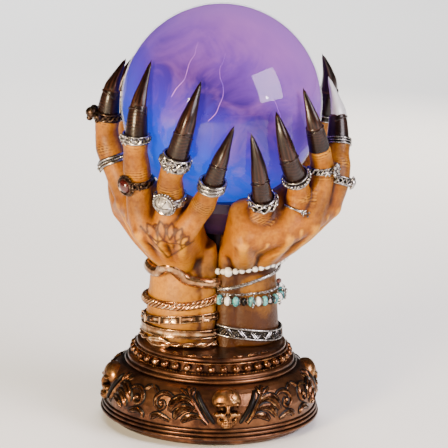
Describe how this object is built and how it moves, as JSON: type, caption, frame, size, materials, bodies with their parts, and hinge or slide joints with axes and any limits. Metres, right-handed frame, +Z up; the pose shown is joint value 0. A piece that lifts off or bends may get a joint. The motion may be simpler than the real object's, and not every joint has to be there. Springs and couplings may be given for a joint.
{
  "type": "plasma ball lamp",
  "caption": "Glass plasma globe held by two clawed, ringed hands rising from a round turned plinth with skull and scroll relief; slide switch and power socket at the back.",
  "frame": {"origin": "centre of the round base on the surface that the feet stand on", "axes": "+Z up through the plinth and the globe, -Y is the front between the two little fingers, +X to the right seen from the front"},
  "size_m": [0.1653, 0.1417, 0.269],
  "materials": {
    "plinth_bronze": "hand-brushed bronze paint on resin",
    "relief_bronze": "dark bronze with gold rubbed on the high spots",
    "relief_black": "gloss black paint",
    "skull_gold": "old gold paint with dark wash",
    "skin_ochre": "golden ochre paint with brown wash",
    "claw_brown": "metallic dark brown lacquer",
    "antique_silver": "antique silver with blackened recesses",
    "dark_bronze": "dark antique bronze",
    "bangle_gold": "antique gold",
    "pearl": "pearl beads",
    "turquoise": "polished turquoise beads",
    "globe_tint": "clear blown glass, violet glow",
    "stem_glass": "clear glass",
    "collar_purple": "dark purple gloss",
    "foot_rubber": "matt",
    "black_plastic": "fine moulded texture",
    "grey_plastic": "moulded",
    "white_plastic": "moulded",
    "steel": "zinc plated",
    "ferrite": "sintered",
    "winding": "varnished winding",
    "board_green": "solder mask",
    "aluminium": "extruded",
    "capacitor_blue": "sleeve",
    "lead_red": "silicone lead"
  },
  "bodies": {
    "plinth": {"base_shell": "plinth_bronze", "bead_band": "relief_bronze", "skull_ornaments": "skull_gold", "scroll_ornaments": "relief_bronze", "cartouche_bands": "relief_black", "bottom_cover": "black_plastic", "cover_screws": "steel", "rubber_feet": "foot_rubber", "rear_panel": "black_plastic", "panel_screws": "steel", "switch_body": "grey_plastic", "dc_jack": "black_plastic", "circuit_board": "board_green", "board_screws": "steel", "transformer_core": "ferrite", "transformer_coil": "winding", "power_transistor": "black_plastic", "heat_sink": "aluminium", "capacitors": "capacitor_blue", "hv_lead": "lead_red", "power_leads": "lead_red", "support_tube": "grey_plastic", "tube_nut": "steel", "globe_collar": "collar_purple", "globe_gasket": "foot_rubber", "globe_glass": "globe_tint", "electrode_bulb": "stem_glass", "electrode_core": "steel", "left_hand": "skin_ochre", "right_hand": "skin_ochre", "left_claws": "claw_brown", "right_claws": "claw_brown", "left_index_skull_ring": "dark_bronze", "left_index_lower_ring": "antique_silver", "left_middle_upper_ring": "antique_silver", "left_middle_stone_ring": "dark_bronze", "left_third_upper_ring": "antique_silver", "left_third_dome_ring": "antique_silver", "left_little_wrap_ring": "antique_silver", "right_little_cross_ring": "antique_silver", "right_third_upper_ring": "antique_silver", "right_third_flower_ring": "antique_silver", "right_middle_flower_ring": "antique_silver", "right_index_plain_ring": "antique_silver", "right_index_lower_ring": "antique_silver", "thumb_bands": "antique_silver", "wave_bangle": "bangle_gold", "braided_bangle": "bangle_gold", "stud_bangle": "bangle_gold", "smooth_cuff": "bangle_gold", "leaf_bangle": "bangle_gold", "pearl_bracelet": "pearl", "thin_bangle": "antique_silver", "turquoise_bracelet": "turquoise", "zigzag_cuff": "antique_silver", "charm_chain": "antique_silver"},
    "knob": {"switch_knob": "white_plastic"}
  },
  "joints": [
    {"name": "switch_slide", "type": "slide", "parent": "plinth", "child": "knob", "axis": [1, 0, 0], "range_m": [-0.003, 0.003]}
  ]
}
